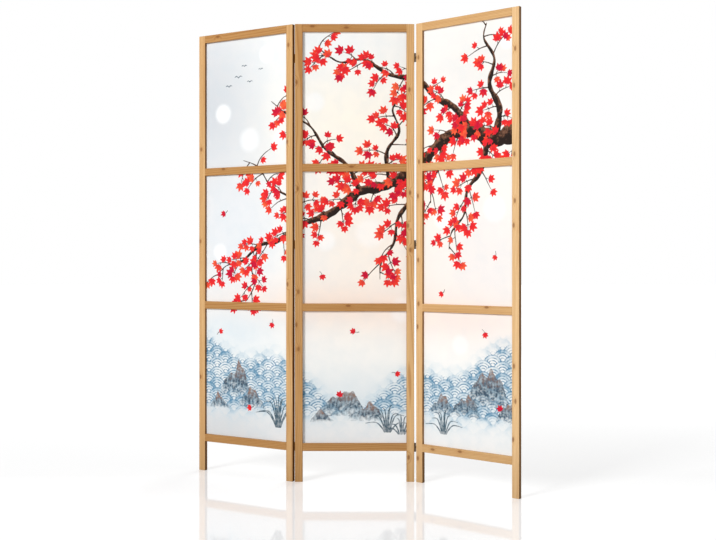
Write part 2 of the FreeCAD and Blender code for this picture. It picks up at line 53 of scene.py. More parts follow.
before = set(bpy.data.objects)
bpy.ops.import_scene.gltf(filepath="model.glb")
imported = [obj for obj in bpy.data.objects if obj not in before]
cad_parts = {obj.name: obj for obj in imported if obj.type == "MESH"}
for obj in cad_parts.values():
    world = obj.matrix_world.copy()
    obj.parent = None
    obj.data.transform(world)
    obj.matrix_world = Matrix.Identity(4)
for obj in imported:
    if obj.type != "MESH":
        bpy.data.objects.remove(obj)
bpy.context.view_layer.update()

PANELS = ("left_panel", "middle_panel", "right_panel")
TIERS = ("bottom", "centre", "top")
STILES = ("left_stile", "right_stile")
RAILS = ("bottom_rail", "lower_rail", "upper_rail", "top_rail")
JOINTS = ("left_joint", "right_joint")

MM = 0.001
WHITE = (1.0, 1.0, 1.0)
PANEL_WIDTH = 446.0  # mm
# Where each panel's left edge lies with the screen opened flat, in mm.
PANEL_STARTS = {"left_panel": 0.0, "middle_panel": 446.3, "right_panel": 898.3}
# From the darkest timber, 0, to the palest, 1: each panel's left stile, right stile and rails.
# The tones are partly the boards' own and partly painted highlight: the right panel's pale tones stand in
# for its lacquer's sheen.
BOARD_TONES = {
    "left_panel": (0.66, 0.6, 0.1),
    "middle_panel": (0.28, 0.7, 0.12),
    "right_panel": (0.84, 1.0, 0.66),
}

SOFTWOOD = "planed softwood"  # the node group that all timber shares
FIRST_BACKING = 31  # the number of the first panel's strips and dowels. The boards are numbered from 1
BOARD_SHIFT = 0.37  # m along the grain from one board's figure to the next one's
BOARD_STEP = 0.618  # from one board's random number to the next one's
LACQUER_COAT = 0.06  # the weight of the coat on the frames
# How each part of a hinge was made, and how rough it is.
HINGE_PARTS = (("leaf", "pressed", 0.3), ("pin", "turned", 0.22), ("screws", "threaded", 0.34))
# The darkening near the floor is painted shade.
FOOT_HEIGHT = 0.2  # m, up to which the timber is darker
KNOT_CELLS = (16, 16, 8)  # cells to a metre, with a knot in some of them
KNOT_SHARE = 0.32  # of the cells
KNOT_REACH = 0.1  # of a cell
HALO_REACH = 0.24  # of a cell, how far a knot bends the rings round it
# How dark the wood is from one year ring to the next: the place, and the share of latewood.
RING_PROFILE = ((0.0, 0.12), (0.5, 0.25), (0.86, 0.95), (0.94, 0.8), (1.0, 0.12))

# The picture, laid out flat. Its places are in mm from the screen's lower left corner.
PICTURE_WIDTH = 1346.0
PICTURE_HEIGHT = 1710.0
PITCH = 1.25  # mm between the points that the picture is worked out on
FAR = 8.0  # mm beyond a motif's edge where its distance is no longer told
LINE_STEP = 4.0  # mm between the points of a smooth line
EDGE_FIELDS = ("bough", "leaf", "wave_line", "rock", "grass")  # the distance to a motif's edge, in mm
# A bough's side, a leaf's tone and the distance from its palm, a wave's strength, and the height in a rock.
TONE_FIELDS = ("bough_side", "leaf_tone", "leaf_reach", "wave_fill", "rock_rise")

# Each bough is a line of places, each one across, up and half as wide as the stroke.
BOUGHS = (
    (
        (1350, 1290, 32), (1238, 1256, 29), (1130, 1300, 26), (1015, 1268, 22), (908, 1180, 21),
        (800, 1112, 19), (690, 1084, 17), (580, 1004, 14), (474, 962, 11), (372, 902, 9),
        (286, 884, 7), (206, 826, 4.6), (128, 806, 2.4), (84, 770, 1.5),
    ),
    (
        (1130, 1302, 17), (1064, 1384, 13), (986, 1424, 11), (902, 1502, 9), (802, 1522, 7),
        (704, 1578, 5), (612, 1570, 3.4), (534, 1622, 1.6),
    ),
    (
        (1238, 1262, 16), (1258, 1362, 12), (1216, 1452, 9), (1236, 1542, 6), (1192, 1620, 4),
        (1204, 1672, 1.6),
    ),
    ((908, 1180, 13), (884, 1066, 9), (832, 984, 6.6), (816, 892, 4.6), (770, 820, 3), (764, 756, 1.5)),
    (
        (1206, 1258, 12), (1182, 1152, 9), (1122, 1082, 6.6), (1106, 992, 4.4), (1052, 930, 2.8),
        (1040, 868, 1.5),
    ),
    (
        (690, 1084, 10), (642, 1182, 7.4), (562, 1242, 5.4), (502, 1330, 4), (420, 1372, 2.8),
        (342, 1430, 1.5),
    ),
    ((474, 962, 7), (424, 1062, 5), (342, 1104, 3.6), (282, 1182, 2.6), (210, 1212, 1.5)),
    ((1015, 1268, 10), (1000, 1180, 7), (962, 1110, 4.4), (958, 1040, 1.8)),
    ((800, 1112, 9), (790, 1230, 7), (836, 1310, 5), (812, 1392, 3.4), (846, 1440, 1.6)),
    ((286, 884, 4), (250, 800, 3.2), (262, 734, 2.4), (226, 672, 1.5)),
)
# The sprays along the boughs, in mm.
SPRAY_STEP = 40
SPRAY_LENGTHS = (42, 92)
TWIG_HALF = 2.4  # half a twig's width where it starts
TWIG_TAPER = 0.34  # what that loses over each third of the twig
TWIG_HANG = 0.12  # how far each third turns down, as a share of the way to straight down
STALK_LENGTHS = (8, 20)
LEAF_REACHES = (21, 32)
LEAF_MISSING = 0.3  # the share of side leaves that a spray leaves out
# Leaves that have come off: across, up, reach and the way each one points, in degrees.
DRIFTING = (
    (118, 1010, 22, 200), (236, 720, 20, 310), (346, 586, 21, 250), (96, 548, 19, 20),
    (548, 770, 21, 285), (668, 560, 20, 160), (612, 320, 22, 75), (826, 404, 19, 335),
    (1010, 706, 20, 215), (1196, 566, 21, 290), (1262, 300, 22, 120), (244, 262, 21, 190),
    (1240, 842, 19, 250),
)
# A maple leaf's lobes: each one's turn from the leaf's axis, in degrees, and its share of the leaf's reach.
MAPLE_LOBES = ((0, 1.0), (40, 0.92), (-40, 0.92), (80, 0.7), (-80, 0.7), (126, 0.4), (-126, 0.4))
LOBE_ROOT = 0.11  # half a lobe's width at the palm, as a share of its length
LOBE_BELLY = 0.15  # what the lobe's middle adds to that
# Small far birds: across, up and half the span of the wings.
BIRDS = ((140, 1500, 15), (186, 1532, 18), (240, 1512, 13), (214, 1574, 12), (292, 1556, 10))
# Soft round lights in the wash: across, up, radius and strength.
GLOWS = (
    (112, 1398, 46, 0.9), (318, 1612, 40, 0.8), (238, 1290, 58, 0.5), (380, 1290, 34, 0.5),
    (560, 900, 48, 0.5), (728, 930, 70, 0.4), (1010, 980, 44, 0.6), (1236, 1010, 60, 0.5),
    (1290, 1600, 38, 0.6), (96, 860, 40, 0.7), (520, 1420, 46, 0.5), (850, 640, 60, 0.4),
    (342, 440, 34, 0.5), (1090, 520, 46, 0.4),
)
# Washes under the picture: across, up, reach across, reach up, colour and strength.
WASHES = (
    (60, 1420, 320, 460, "#ccd0d5", 0.9),
    (610, 1640, 260, 150, "#edf4f7", 0.6),
    (690, 1330, 260, 200, "#fff8e8", 0.9),
    (1160, 1500, 330, 300, "#ebe8e4", 0.9),
    (830, 900, 420, 260, "#fdf1e3", 0.9),
    (180, 900, 250, 260, "#e4e8ec", 0.85),
    (1180, 820, 260, 260, "#efeae8", 0.8),
    (560, 660, 420, 80, "#f8dcc9", 0.6),
    (1120, 610, 300, 70, "#f6ddd2", 0.45),
    (160, 560, 220, 90, "#dbe6ec", 0.7),
    (675, 300, 900, 110, "#dbe5ea", 0.7),
    (675, 130, 900, 90, "#eaeaea", 0.95),
    (100, 150, 300, 130, "#ccced0", 0.75),
)
WATER_TOP = 700  # mm, above which there is no water
SCALLOP = 41.0  # mm, the radius of one wave scallop
ARC_HALF = 1.9  # mm, half the width of its arcs
SCALLOP_RINGS = (1.0, 0.76, 0.53, 0.3)  # its drawn arcs, as shares of that radius
# Rocks in the water: across, up at the foot, half width and height.
ROCKS = (
    (168, 300, 76, 176), (252, 262, 66, 96), (96, 250, 50, 70), (620, 246, 92, 132), (716, 226, 74, 84),
    (548, 222, 46, 58), (1012, 262, 60, 92), (1204, 300, 96, 196), (1110, 262, 66, 110),
    (1286, 258, 44, 96),
)
# Tufts of water grass: across, up at the root, number of blades and height.
TUFTS = ((374, 196, 11, 150), (792, 184, 9, 118), (846, 176, 7, 84), (1016, 190, 9, 110))

# The stage, in metres. Each softbox has its setting's name, its place, where it points and its size.
FLOOR_RADIUS = 30
SOFTBOXES = (
    ("key", (-5.72, -6.35, 4.0), (0, 0, 0.7), 2.8),
    ("fill", (0.4, -4.9, 1.1), (0, 0, 0.6), 1.6),
    ("back", (1.8, 4.2, 3.0), (0, 0, 0.9), 2.4),
)
EYE = (0.0296, -4.0040, 0.836)
SENSOR = 36  # mm
HORIZON = 12 / 716  # the photograph's horizon lies 12 of its 716 pixels above the middle


def linear(hex_colour):
    """An sRGB hex colour as the linear red, green and blue that Blender works in."""
    channels = (int(hex_colour[i : i + 2], 16) / 255 for i in (1, 3, 5))
    return tuple(c / 12.92 if c <= 0.04045 else ((c + 0.055) / 1.055) ** 2.4 for c in channels)


def tint(name, description, hex_colour):
    """A colour that a user can change in the sidebar."""
    return FloatVectorProperty(
        name=name, description=description, default=linear(hex_colour), subtype="COLOR", min=0, max=1
    )


def setting(name, description, default, **settings):
    """A number that a user can change in the sidebar, from zero up unless its settings differ."""
    return FloatProperty(name=name, description=description, default=default, **{"min": 0, **settings})


class PineFinish(bpy.types.PropertyGroup):
    dark: tint("Dark boards", "The darkest timber, between its year rings", "#be9059")
    pale: tint("Pale boards", "The palest timber, between its year rings", "#f2d09f")
    ring: tint("Year rings", "What the year rings leave of the timber's colour", "#c9ab86")
    knot: tint("Knots", "The small knots", "#7a4a26")
    # The sawn edges' colour is painted shade on the faces that look along a panel.
    edge: tint("Sawn edges", "What the soaked-in lacquer leaves of the colour at the sawn edges", "#aa936f")
    raw: tint("Strips", "The unfinished strips behind the sheets", "#e6c79c")
    raw_dark: tint("Strip grain", "The grain lines of the strips", "#c79a62")
    ring_spacing: setting("Ring spacing", "From one year ring to the next", 5 * MM, subtype="DISTANCE")


class PrintedCloth(bpy.types.PropertyGroup):
    cell: setting("Cell", "The mesh size that the picture is carried on", 2.5 * MM, subtype="DISTANCE")
    slack: setting("Slack", "How far the stretched cloth stands off the flat", 0.5 * MM, subtype="DISTANCE")
    thread: setting("Thread spacing", "From one thread to the next", 1.1 * MM, subtype="DISTANCE")
    bare: tint("Bare cloth", "The unprinted back", "#f1eee8")
    showing_through: setting("Showing through", "How much of the print shows on the back", 0.2, max=1)


class PictureInks(bpy.types.PropertyGroup):
    ink: tint("Ink", "The darkest brush ink of the boughs", "#231814")
    bark: tint("Bark", "The boughs' lit side", "#8a604a")
    leaf_pale: tint("Pale leaf", "The palest maple leaves", "#f4673c")
    leaf_red: tint("Red leaf", "Most of the maple leaves", "#ec2f2a")
    leaf_deep: tint("Deep leaf", "The darkest maple leaves", "#c11237")
    water_pale: tint("Pale water", "The thin wash of the waves", "#aecbdb")
    water_deep: tint("Deep water", "The waves' arcs and hollows", "#4f83a4")
    rock: tint("Rock", "The rocks' wet ink", "#35495a")
    rock_pale: tint("Pale rock", "The rocks where the brush ran dry", "#8fa5b2")
    moss: tint("Rock top", "The warm wash on the rocks' tops", "#93705c")
    grass: tint("Grass", "Water grass and far birds", "#34505f")
    paper: tint("Paper", "The ground where there is no wash", "#fcfaf5")


class HingeSteel(bpy.types.PropertyGroup):
    bronze: tint("Bronze", "Dark bronze-plated steel of the leaves, pins and screws", "#6f6152")
    wire: tint("Wire", "Bright drawn wire of the brads", "#d2d1cd")


class StageLight(bpy.types.PropertyGroup):
    key: setting("Key", "The softbox at the front left", 655, unit="POWER")
    fill: setting("Fill", "The softbox behind the camera", 52, unit="POWER")
    back: setting("Back", "The softbox behind the screen", 130, unit="POWER")
    around: setting("Around", "The even light from all sides", 0.1)
    floor: tint("Floor", "The floor as it lights the screen", "#cccccc")
    glow: tint("Floor glow", "What the camera sees of the floor beside its own shading", "#b7b7b7")
    lens: setting("Lens", "The camera's focal length in mm", 54.21, min=1)
    seed: IntProperty(name="Seed", description="The start of all random numbers", default=7)


def add_node(tree, kind, inputs=(), stops=(), **settings):
    """Adds a node with its settings and links.

    The inputs are a row in the node's own order, or go by their names or numbers. A node given as an input
    stands for its first output in use. A MapRange node's row is a value, its range and the range it goes to.
    """
    node = tree.nodes.new(kind if kind.startswith("NodeGroup") else "ShaderNode" + kind)
    for name, value in settings.items():
        setattr(node, name, value)
    for _ in stops[2:]:
        node.color_ramp.elements.new(1)
    for number, (place, colour) in enumerate(stops):
        element = node.color_ramp.elements[number]
        element.position, element.color = place, (*colour, 1)
    for socket, value in inputs.items() if isinstance(inputs, dict) else enumerate(inputs):
        if isinstance(value, bpy.types.Node):
            value = next(output for output in value.outputs if output.enabled)
        if isinstance(value, bpy.types.NodeSocket):
            tree.links.new(value, node.inputs[socket])
        elif node.inputs[socket].type == "RGBA":
            node.inputs[socket].default_value = (*value, 1)
        else:
            node.inputs[socket].default_value = value
    return node


def new_group(name, inputs, outputs):
    """An empty shader node group with its sockets, each a name and a kind."""
    tree = bpy.data.node_groups.new(name, "ShaderNodeTree")
    for way, sockets in (("INPUT", inputs), ("OUTPUT", outputs)):
        for socket, kind in sockets.items():
            tree.interface.new_socket(socket, in_out=way, socket_type="NodeSocket" + kind)
    return tree


def new_material(name):
    """An empty node material, and the function that adds a node to it."""
    material = bpy.data.materials.new(name)
    material.use_nodes = True
    material.node_tree.nodes.clear()
    return material, partial(add_node, material.node_tree)


def put(name, data):
    """A new object in the scene."""
    made = bpy.data.objects.new(name, data)
    bpy.context.scene.collection.objects.link(made)
    return made


def dress(node, material):
    """Gives a CAD node's object its material."""
    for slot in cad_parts[node].material_slots:
        slot.link = "OBJECT"
        slot.material = material


def panel_turn(panel):
    """A panel's turn from square to the camera, in radians, from the plan of its centre sheet."""
    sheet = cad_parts[f"{panel}_centre_sheet"].data
    plan = np.array(sorted({(round(v.co.x, 6), round(v.co.y, 6)) for v in sheet.vertices}))
    along = np.linalg.svd(plan - plan.mean(0), full_matrices=False)[2][0]
    along = along * np.sign(along[0])
    return math.atan2(along[1], along[0])


def softwood_group(pine):
    """Planed softwood as a node group. It reads board coordinates in metres, with the grain along Z.

    Year rings are drawn 5 mm apart, coarser than the 2 to 3 mm of real pine, so that they show. They bend
    round small knots, and long streaks and short fibres run between them.
    """
    inputs = {"Vector": "Vector", "Board": "Float", "Earlywood": "Color", "Latewood": "Color"}
    tree = new_group(SOFTWOOD, inputs, {"Color": "Color", "Roughness": "Float", "Height": "Float"})
    add = partial(add_node, tree)
    given = add("NodeGroupInput").outputs
    place, board, earlywood, latewood = (given[name] for name in inputs)

    # The rings' slow wander, streaks 11 mm wide and fibres 1 mm wide, all drawn out along the grain.
    noises = []
    for scale, detail in (((6, 6, 2.2), 2.0), ((90, 90, 3), 3.0), ((900, 900, 28), 4.0)):
        drawn = add("Mapping", {"Vector": place, "Scale": scale})
        noise = {"Vector": drawn, "W": board, "Scale": 1.0, "Detail": detail}
        noises.append(add("TexNoise", noise, noise_dimensions="4D"))
    wander, streaks, fibres = noises

    # Knots, about one to 400 mm of board, 6 to 12 mm wide and twice as long. They go through the board, so
    # they are laid out over its face: across, with the board in the middle of a cell, and along the grain.
    face = {"Location": (0.5, 0, 0), "Rotation": (math.radians(-90), 0, 0), "Scale": KNOT_CELLS}
    cells = {"Vector": add("Mapping", {"Vector": place, **face}), "Scale": 1.0, "Randomness": 0.5}
    cells = add("TexVoronoi", cells, voronoi_dimensions="2D", feature="F1").outputs
    chosen = add("SeparateColor", (cells["Color"],))
    chosen = add("Math", (chosen, 1 - KNOT_SHARE), operation="GREATER_THAN")
    marks = []
    for reach in (KNOT_REACH, HALO_REACH):
        fall = (cells["Distance"], 0.04, reach, 1.0, 0.0)
        mark = add("MapRange", fall, interpolation_type="SMOOTHSTEP")
        marks.append(add("Math", (mark, chosen), operation="MULTIPLY"))
    knot, halo = marks

    # Year rings about a pith outside the board, which wanders by some millimetres along it.
    sway = add("VectorMath", {0: wander.outputs["Color"], "Scale": 0.02}, operation="SCALE")
    swayed = add("VectorMath", (place, sway), operation="ADD")
    pith = add("Math", (board, 0.09, 0.012), operation="MULTIPLY_ADD")
    pith = add("CombineXYZ", {"X": pith, "Y": 0.035})
    from_pith = add("SeparateXYZ", (add("VectorMath", (swayed, pith), operation="ADD"),)).outputs
    across = add("Math", (from_pith["Z"], 0.03, from_pith["X"]), operation="MULTIPLY_ADD")
    in_plan = add("CombineXYZ", {"X": across, "Y": from_pith["Y"]})
    radius = add("VectorMath", (in_plan,), operation="LENGTH")
    radius = add("Math", (halo, 0.006, radius), operation="MULTIPLY_ADD")
    ring = add("Math", (radius, pine.ring_spacing), operation="DIVIDE")
    ring = add("Math", (ring,), operation="FRACT")
    ring = add("ValToRGB", {"Fac": ring}, stops=[(at, (grey,) * 3) for at, grey in RING_PROFILE])

    # How much latewood shows: the rings, with streaks and fibres over them.
    amount = add("Math", (ring, 0.55), operation="MULTIPLY")
    amount = add("Math", (streaks, 0.9, amount), operation="MULTIPLY_ADD")
    amount = add("Math", (fibres, 0.35, amount), operation="MULTIPLY_ADD")
    amount = add("Math", (amount, 0.42), operation="SUBTRACT", use_clamp=True)
    colour = add("Mix", {0: amount, 6: earlywood, 7: latewood}, data_type="RGBA")
    shaded = add("Math", (halo, 0.25), operation="MULTIPLY")
    colour = add("Mix", {0: shaded, 6: colour, 7: latewood}, data_type="RGBA")
    knot = add("Math", (knot, 0.68), operation="MULTIPLY")
    colour = add("Mix", {0: knot, 6: colour, 7: pine.knot}, data_type="RGBA")

    rough = add("MapRange", (fibres, 0.0, 1.0, 0.42, 0.6))
    height = add("Math", (ring, -0.35, fibres), operation="MULTIPLY_ADD")
    add("NodeGroupOutput", {"Color": colour, "Roughness": rough, "Height": height})


def finish_board(kind, panel, member, number, colours, edge_shade=WHITE, coat=0):
    """Finishes one piece in softwood: matt and warm, with its own figure and the grain along the piece.

    The Mapping node puts the origin in the piece, takes out the panel's turn and lays the grain along Z.
    The faces that look along the panel, its edges, are darkened as painted shade, and so is the screen's
    foot, as painted shade near the floor.
    """
    node = f"{panel}_{member}"
    turn = panel_turn(panel)
    low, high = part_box(node)
    along = Vector((math.cos(turn), math.sin(turn), 0))
    lies = member in (*RAILS, "dowels")
    grain = along if lies else Vector((0, 0, 1))
    material, add = new_material(f"{kind}, {node}")
    here = add("TexCoord").outputs
    place = {
        "Vector": here["Object"],
        "Location": (low + high) / 2 + grain * (BOARD_SHIFT * number),
        "Rotation": (0, math.radians(90) if lies else 0, turn),
    }
    place = add("Mapping", place, vector_type="TEXTURE")
    # Painted shade: the timber darkens towards the floor, up to FOOT_HEIGHT.
    up = add("SeparateXYZ", (here["Object"],)).outputs["Z"]
    foot = add("MapRange", (up, 0.0, FOOT_HEIGHT, 0.83, 1.0))
    # Painted shade: the faces that look along the panel, its side and end edges, take the darker edge
    # colour.
    facing = add("VectorMath", (here["Normal"], along), operation="DOT_PRODUCT")
    facing = add("Math", (facing,), operation="ABSOLUTE")
    facing = add("MapRange", (facing, 0.5, 1.0))
    edge = add("Mix", {0: facing, 6: WHITE, 7: edge_shade}, data_type="RGBA")
    wood = {
        "Vector": place,
        "Board": number * BOARD_STEP % 1,
        "Earlywood": colours[0],
        "Latewood": colours[1],
    }
    wood = add("Group", wood, node_tree=bpy.data.node_groups[SOFTWOOD]).outputs
    colour = add("VectorMath", (wood["Color"], edge), operation="MULTIPLY")
    finish = {
        "Base Color": add("VectorMath", {0: colour, "Scale": foot}, operation="SCALE"),
        "Roughness": wood["Roughness"],
        "Normal": add("Bump", {"Strength": 0.35, "Distance": 0.3 * MM, "Height": wood["Height"]}),
        "IOR": 1.45,
        "Specular IOR Level": 0.35,
        "Coat Weight": coat,
        "Coat Roughness": 0.4,
    }
    add("OutputMaterial", {"Surface": add("BsdfPrincipled", finish)})
    dress(node, material)


class SCREEN_OT_timber(bpy.types.Operator):
    """Finishes the stiles and rails in planed pine with a thin satin lacquer"""

    bl_idname = "screen.finish_timber"
    bl_label = "Finish the timber"

    def execute(self, context):
        # Lacquered pine is satin, warm and a little deeper than bare wood.
        pine = context.scene.screen_pine
        softwood_group(pine)
        for number, (panel, member) in enumerate(product(PANELS, STILES + RAILS), 1):
            tones = BOARD_TONES[panel]
            tone = tones[STILES.index(member)] if member in STILES else tones[-1]
            earlywood = [dark * (pale / dark) ** tone for dark, pale in zip(pine.dark, pine.pale)]
            latewood = [early * share for early, share in zip(earlywood, pine.ring)]
            kind = "pine, planed and lacquered"
            finish_board(kind, panel, member, number, (earlywood, latewood), pine.edge, LACQUER_COAT)
        return {"FINISHED"}


class SCREEN_OT_backing(bpy.types.Operator):
    """Finishes what holds the frames and sheets together: strips, dowels and brads"""

    bl_idname = "screen.finish_backing"
    bl_label = "Finish strips, dowels and brads"

    def execute(self, context):
        # Bare spruce and beech are paler and duller than the lacquered frame. Drawn wire has a sharp shine.
        pine = context.scene.screen_pine
        wire = plated_steel("steel wire, drawn bright", context.scene.screen_steel.wire, 0.26)
        for number, panel in enumerate(PANELS, FIRST_BACKING):
            finish_board("spruce, sawn", panel, "sheet_strips", number, (pine.raw, pine.raw_dark))
            finish_board("beech, turned", panel, "dowels", number, (pine.raw, pine.raw_dark))
            dress(f"{panel}_brads", wire)
        return {"FINISHED"}


def plated_steel(name, colour, roughness):
    """Plated steel: bright, with the faint cloudiness and fine scratches of handled fittings."""
    material, add = new_material(name)
    place = add("TexCoord").outputs["Object"]
    clouds = add("TexNoise", {"Vector": place, "Scale": 180.0, "Detail": 3.0})
    drawn = add("Mapping", {"Vector": place, "Scale": (4000, 4000, 350)})
    scratches = add("TexNoise", {"Vector": drawn, "Scale": 1.0, "Detail": 2.0})
    dulled = [channel * 0.82 for channel in colour]
    rough = (clouds, 0.0, 1.0, roughness - 0.06, roughness + 0.12)
    finish = {
        "Base Color": add("Mix", {0: clouds, 6: dulled, 7: colour}, data_type="RGBA"),
        "Metallic": 1.0,
        "Roughness": add("MapRange", rough),
        "Normal": add("Bump", {"Strength": 0.15, "Distance": 0.05 * MM, "Height": scratches}),
    }
    add("OutputMaterial", {"Surface": add("BsdfPrincipled", finish)})
    return material


class SCREEN_OT_hinges(bpy.types.Operator):
    """Finishes the six butt hinges and their screws in dark bronze plate"""

    bl_idname = "screen.finish_hinges"
    bl_label = "Finish the hinges"

    def execute(self, context):
        bronze = context.scene.screen_steel.bronze
        for part, made, roughness in HINGE_PARTS:
            steel = plated_steel(f"steel, {made} and bronze-plated", bronze, roughness)
            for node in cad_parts:
                if node.startswith(JOINTS) and node.endswith(part):
                    dress(node, steel)
        return {"FINISHED"}


def blank_picture():
    """The picture's fields before anything is drawn."""
    shape = (int(PICTURE_HEIGHT / PITCH) + 2, int(PICTURE_WIDTH / PITCH) + 2)
    fields = EDGE_FIELDS + TONE_FIELDS
    return {name: np.full(shape, FAR if name in EDGE_FIELDS else 0, np.float32) for name in fields}


def window(picture, across, up, reach):
    """The part of the picture within reach of a place, and its points' offsets from that place."""
    rows, columns = picture["leaf"].shape
    left, right = (int(np.clip((across + way) / PITCH, 0, columns)) for way in (-reach, reach + PITCH))
    low, high = (int(np.clip((up + way) / PITCH, 0, rows)) for way in (-reach, reach + PITCH))
    z, x = np.mgrid[low:high, left:right] * PITCH
    return (slice(low, high), slice(left, right)), x - across, z - up


def smooth_line(places):
    """Points every few millimetres on the smooth line through a stroke's places."""
    places = np.array([places[0], *places, places[-1]], float)
    made = []
    for a, b, c, d in zip(places, places[1:], places[2:], places[3:]):
        t = np.linspace(0, 1, max(2, int(np.hypot(*(c - b)[:2]) / LINE_STEP)), endpoint=False)[:, None]
        curve = 2 * b + (c - a) * t + (2 * a - 5 * b + 4 * c - d) * t**2 + (3 * b - a - 3 * c + d) * t**3
        made.append(curve / 2)
    return np.vstack([*made, places[-1:]])


def draw_stroke(picture, line, field="bough"):
    """Draws a tapering brush stroke along the points of a line."""
    for (x, z, width), (x1, z1, width1) in zip(line, line[1:]):
        run = np.array((x1 - x, z1 - z))
        size = np.hypot(*run)
        area, dx, dz = window(picture, x, z, size + max(width, width1) + FAR)
        along = np.clip((dx * run[0] + dz * run[1]) / size**2, 0, 1)
        half = width + (width1 - width) * along
        distance = np.hypot(dx - along * run[0], dz - along * run[1]) - half
        nearer = distance < picture[field][area]
        picture[field][area][nearer] = distance[nearer]
        if field == "bough":
            side = (dz * run[0] - dx * run[1]) / size
            lit = side / half * np.sign(run[0] if abs(run[0]) > 1e-6 else 1)
            picture["bough_side"][area][nearer] = np.clip(lit, -1.5, 1.5)[nearer]


def draw_leaf(picture, across, up, reach, way, tone):
    """Draws a maple leaf over what is there. Its lobes are pointed ovals that meet in a palm."""
    area, dx, dz = window(picture, across, up, reach + FAR)
    nearest = np.full(dx.shape, FAR)
    for turn, share in MAPLE_LOBES:
        angle = math.radians(way + turn)
        tip = reach * share
        run = dx * math.cos(angle) + dz * math.sin(angle)
        off = np.abs(dz * math.cos(angle) - dx * math.sin(angle))
        t = np.clip(run / tip, 0, 1)
        half = tip * (LOBE_ROOT * (1 - t) + LOBE_BELLY * np.sin(np.pi * t**0.8))
        beyond = np.where(run < 0, -run, np.maximum(run - tip, 0))
        distance = np.where(beyond > 0, np.hypot(off, beyond) - half, (off - half) * 0.93)
        nearest = np.minimum(nearest, distance)
    over = (nearest < 0.6) | (nearest < picture["leaf"][area])
    picture["leaf"][area][over] = nearest[over]
    picture["leaf_tone"][area][over] = tone
    picture["leaf_reach"][area][over] = (np.hypot(dx, dz) / reach)[over]


def draw_spray(picture, start, way, size, leaves, draw):
    """Draws a twig with its leaf stalks, and adds its leaves to the list. It hangs over towards its tip."""
    x, z = start
    line = [(x, z, TWIG_HALF)]
    for part in range(1, 4):
        way += (math.radians(-90) - way) * TWIG_HANG + draw.uniform(-0.16, 0.16)
        x, z = x + math.cos(way) * size / 3, z + math.sin(way) * size / 3
        line.append((x, z, TWIG_HALF - TWIG_TAPER * part))
    line = smooth_line(line)
    draw_stroke(picture, line)
    for place, turns in ((1.0, (0.0,)), (0.8, (0.9, -0.9)), (0.45, (1.1, -1.1))):
        stem_x, stem_z, _ = line[int(place * (len(line) - 1))]
        for turn in turns:
            if turn and draw.random() < LEAF_MISSING:
                continue
            angle = way + turn + draw.uniform(-0.25, 0.25)
            stalk = draw.uniform(*STALK_LENGTHS)
            tip_x, tip_z = stem_x + math.cos(angle) * stalk, stem_z + math.sin(angle) * stalk
            draw_stroke(picture, [(stem_x, stem_z, 1.35), (tip_x, tip_z, 1.3)])
            leaves.append((tip_x, tip_z, draw.uniform(*LEAF_REACHES), math.degrees(angle), draw.random()))


def draw_boughs(picture, draw):
    """Draws the boughs with their twigs, then all leaves, the pale ones first."""
    leaves = []
    for bough in BOUGHS:
        line = smooth_line(bough)
        travelled = np.concatenate([[0], np.cumsum(np.hypot(*np.diff(line[:, :2], axis=0).T))])
        knobbly = 1 + 0.16 * np.sin(travelled / 17 + bough[0][0]) + 0.1 * np.sin(travelled / 7.1)
        line[:, 2] = np.maximum(line[:, 2] * knobbly, 1.4)
        draw_stroke(picture, line)
        side = 1
        for at in np.arange(30, travelled[-1] + 1, SPRAY_STEP):
            spot = min(int(np.searchsorted(travelled, at)), len(line) - 2)
            run = line[spot + 1] - line[spot]
            way = math.atan2(run[1], run[0]) + side * draw.uniform(0.5, 1.25)
            way = math.atan2(math.sin(way), math.cos(way))
            if way > math.radians(90):
                way -= 2 * math.pi
            draw_spray(picture, line[spot][:2], way, draw.uniform(*SPRAY_LENGTHS), leaves, draw)
            side = -side
    for leaf in sorted(leaves, key=lambda leaf: leaf[4]):
        draw_leaf(picture, *leaf)
    for x, z, reach, way in DRIFTING:
        angle = math.radians(way + 180)
        bend = [(x, z, 1.4), (x + 9 * math.cos(angle), z + 9 * math.sin(angle), 1.35)]
        draw_stroke(picture, [*bend, (x + 19 * math.cos(angle + 0.3), z + 19 * math.sin(angle + 0.3), 1.3)])
        draw_leaf(picture, x, z, reach, way, draw.uniform(0.35, 0.95))


def draw_water(picture):
    """Draws rows of wave scallops below a swelling line that thins out into mist."""
    rows = int(WATER_TOP / PITCH)
    z, x = np.mgrid[0:rows, 0 : picture["leaf"].shape[1]] * PITCH
    # The water's edge swells about 470 mm up and fades out over 70 mm. The mist thins its foot out too.
    swell = 470 + 92 * np.sin(x / 178 + 0.9) + 46 * np.sin(x / 71 + 2) - 0.02 * x
    shown = np.clip((swell - z) / 70, 0, 1) * np.clip((z - 190) / 90, 0.08, 1)
    line, fill = np.full(z.shape, FAR), np.zeros(z.shape)
    claimed = np.zeros(z.shape, bool)
    for row in range(-2, int(WATER_TOP / (SCALLOP / 2)) + 1):
        middle_z = row * SCALLOP / 2
        offset = SCALLOP * (row % 2)
        middle_x = np.round((x - offset) / (2 * SCALLOP)) * 2 * SCALLOP + offset
        share = np.hypot(x - middle_x, z - middle_z) / SCALLOP
        free = ~claimed
        inside = free & (share < 1)
        for ring in SCALLOP_RINGS:
            away = np.abs(share - ring) * SCALLOP
            reached = inside if ring < 1 else free
            line[reached] = np.minimum(line, away)[reached]
        fill[inside] = (0.2 + 0.8 * share**2)[inside]
        claimed |= inside
    picture["wave_line"][:rows] = line - ARC_HALF + (1 - shown) * 4
    picture["wave_fill"][:rows] = fill * shown


